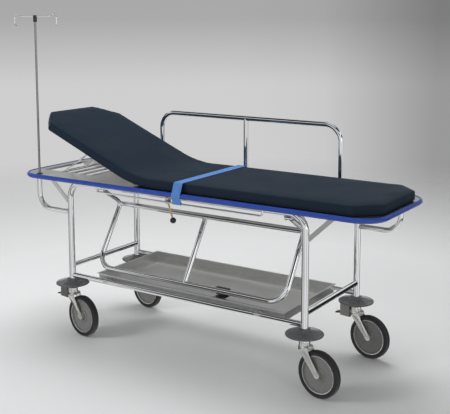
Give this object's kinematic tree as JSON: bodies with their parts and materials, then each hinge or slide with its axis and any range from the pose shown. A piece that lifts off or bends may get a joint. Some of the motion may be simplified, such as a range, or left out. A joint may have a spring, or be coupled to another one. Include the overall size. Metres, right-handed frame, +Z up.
{
  "type": "hospital stretcher trolley",
  "caption": "Tubular hospital stretcher trolley with a lifting backrest, swing-down side rails, lower tray, IV pole and swivel casters.",
  "frame": {"origin": "on the floor, under the middle of the trolley", "axes": "+X towards the foot end, +Y towards the patient's left side, +Z up"},
  "size_m": [2.0029, 0.6805, 1.5952],
  "materials": {
    "chrome_tube": "polished",
    "chrome_fitting": "polished",
    "brake_metal": "satin",
    "stainless_sheet": "satin",
    "tray_sheet": "satin",
    "blue_bumper": "satin",
    "grey_rubber": "matte",
    "black_rubber": "matte",
    "tyre_rubber": "matte",
    "wheel_plastic": "satin",
    "black_plastic": "gloss",
    "socket_plastic": "matte",
    "brass_rod": "polished",
    "navy_cover": "matte",
    "blue_webbing": "matte"
  },
  "bodies": {
    "frame": {"side_frame_right": "chrome_tube", "side_frame_left": "chrome_tube", "lower_tube_right": "chrome_tube", "lower_tube_left": "chrome_tube", "end_tubes": "chrome_tube", "cross_members": "stainless_sheet", "corner_braces": "stainless_sheet", "corner_loop_head": "chrome_tube", "corner_loop_foot": "chrome_tube", "pole_socket": "socket_plastic", "deck_plate": "stainless_sheet", "prop_rack": "stainless_sheet", "bumper_strip": "blue_bumper", "tray": "tray_sheet", "tray_clips": "chrome_fitting", "strap_rods": "chrome_tube", "rail_brackets": "chrome_fitting", "rail_pivot_pins": "chrome_fitting", "rail_rests": "chrome_fitting", "rail_rest_pads": "black_rubber", "disc_bumpers": "grey_rubber", "caster_stems": "chrome_fitting", "mattress_seat": "navy_cover", "backrest_hinge": "chrome_fitting", "restraint_strap": "blue_webbing", "latch_brackets": "chrome_fitting"},
    "backrest": {"backrest_panel": "stainless_sheet", "mattress_back": "navy_cover"},
    "prop": {"prop_bail": "chrome_tube"},
    "rail_right": {"rail_frame_right": "chrome_tube", "rail_bars_right": "chrome_tube"},
    "rail_left": {"rail_frame_left": "chrome_tube", "rail_bars_left": "chrome_tube"},
    "latch_right": {"latch_lever_right": "brass_rod", "latch_knob_right": "black_plastic"},
    "latch_left": {"latch_lever_left": "brass_rod", "latch_knob_left": "black_plastic"},
    "iv_pole": {"iv_pole": "chrome_tube"},
    "iv_hook_head": {"iv_hub": "black_plastic", "iv_hooks": "chrome_tube"},
    "fork_head_right": {"fork_head_right": "chrome_fitting", "axle_head_right": "chrome_fitting", "brake_cover_head_right": "brake_metal"},
    "wheel_head_right": {"tyre_head_right": "tyre_rubber", "wheel_centre_head_right": "wheel_plastic"},
    "brake_head_right": {"brake_pedal_head_right": "black_plastic"},
    "fork_head_left": {"fork_head_left": "chrome_fitting", "axle_head_left": "chrome_fitting"},
    "wheel_head_left": {"tyre_head_left": "tyre_rubber", "wheel_centre_head_left": "wheel_plastic"},
    "fork_foot_right": {"fork_foot_right": "chrome_fitting", "axle_foot_right": "chrome_fitting"},
    "wheel_foot_right": {"tyre_foot_right": "tyre_rubber", "wheel_centre_foot_right": "wheel_plastic"},
    "fork_foot_left": {"fork_foot_left": "chrome_fitting", "axle_foot_left": "chrome_fitting", "brake_cover_foot_left": "brake_metal"},
    "wheel_foot_left": {"tyre_foot_left": "tyre_rubber", "wheel_centre_foot_left": "wheel_plastic"},
    "brake_foot_left": {"brake_pedal_foot_left": "black_plastic"}
  },
  "joints": [
    {"name": "backrest_lift", "type": "hinge", "parent": "frame", "child": "backrest", "pos_m": [-0.258, 0, 0.7955], "axis": [0, 1, 0], "range_deg": [-23, 20]},
    {"name": "prop_fold", "type": "hinge", "parent": "backrest", "child": "prop", "pos_m": [-0.61189, 0, 0.93431], "axis": [0, 1, 0], "range_deg": [-49, 56]},
    {"name": "rail_right_raise", "type": "hinge", "parent": "frame", "child": "rail_right", "pos_m": [0, -0.165, 0.727], "axis": [-1, 0, 0], "range_deg": [0, 148]},
    {"name": "rail_left_lower", "type": "hinge", "parent": "frame", "child": "rail_left", "pos_m": [0, 0.165, 0.727], "axis": [-1, 0, 0], "range_deg": [0, 148]},
    {"name": "latch_right_pull", "type": "hinge", "parent": "frame", "child": "latch_right", "pos_m": [-0.052, -0.262, 0.742], "axis": [0, 1, 0], "range_deg": [0, 25], "stiffness_Nm_per_rad": 0.6, "springref_deg": -11.46},
    {"name": "latch_left_pull", "type": "hinge", "parent": "frame", "child": "latch_left", "pos_m": [-0.052, 0.262, 0.742], "axis": [0, 1, 0], "range_deg": [0, 25], "stiffness_Nm_per_rad": 0.6, "springref_deg": -11.46},
    {"name": "iv_pole_lift", "type": "slide", "parent": "frame", "child": "iv_pole", "axis": [0, 0, 1], "range_m": [0, 0.08]},
    {"name": "iv_hook_turn", "type": "hinge", "parent": "iv_pole", "child": "iv_hook_head", "pos_m": [-0.867, -0.257, 1.57], "axis": [0, 0, 1], "continuous": true},
    {"name": "swivel_head_right", "type": "hinge", "parent": "frame", "child": "fork_head_right", "pos_m": [-0.657, -0.257, 0.22], "axis": [0, 0, 1], "continuous": true},
    {"name": "roll_head_right", "type": "hinge", "parent": "fork_head_right", "child": "wheel_head_right", "pos_m": [-0.57798, -0.26952, 0.1015], "axis": [0.1564, 0.9877, 0], "continuous": true},
    {"name": "brake_head_right_press", "type": "hinge", "parent": "fork_head_right", "child": "brake_head_right", "pos_m": [-0.71429, -0.24793, 0.192], "axis": [-0.1564, -0.9877, 0], "range_deg": [0, 15]},
    {"name": "swivel_head_left", "type": "hinge", "parent": "frame", "child": "fork_head_left", "pos_m": [-0.657, 0.257, 0.22], "axis": [0, 0, 1], "continuous": true},
    {"name": "roll_head_left", "type": "hinge", "parent": "fork_head_left", "child": "wheel_head_left", "pos_m": [-0.57798, 0.24449, 0.1015], "axis": [0.1564, 0.9877, 0], "continuous": true},
    {"name": "swivel_foot_right", "type": "hinge", "parent": "frame", "child": "fork_foot_right", "pos_m": [0.657, -0.257, 0.22], "axis": [0, 0, 1], "continuous": true},
    {"name": "roll_foot_right", "type": "hinge", "parent": "fork_foot_right", "child": "wheel_foot_right", "pos_m": [0.73601, -0.26952, 0.1015], "axis": [0.1564, 0.9877, 0], "continuous": true},
    {"name": "swivel_foot_left", "type": "hinge", "parent": "frame", "child": "fork_foot_left", "pos_m": [0.657, 0.257, 0.22], "axis": [0, 0, 1], "continuous": true},
    {"name": "roll_foot_left", "type": "hinge", "parent": "fork_foot_left", "child": "wheel_foot_left", "pos_m": [0.73601, 0.24449, 0.1015], "axis": [0.1564, 0.9877, 0], "continuous": true},
    {"name": "brake_foot_left_press", "type": "hinge", "parent": "fork_foot_left", "child": "brake_foot_left", "pos_m": [0.59971, 0.26607, 0.192], "axis": [-0.1564, -0.9877, 0], "range_deg": [0, 15]}
  ],
  "couplings": [
    {"joint": "prop_fold", "follows": "backrest_lift", "ratio": -2.4165}
  ]
}
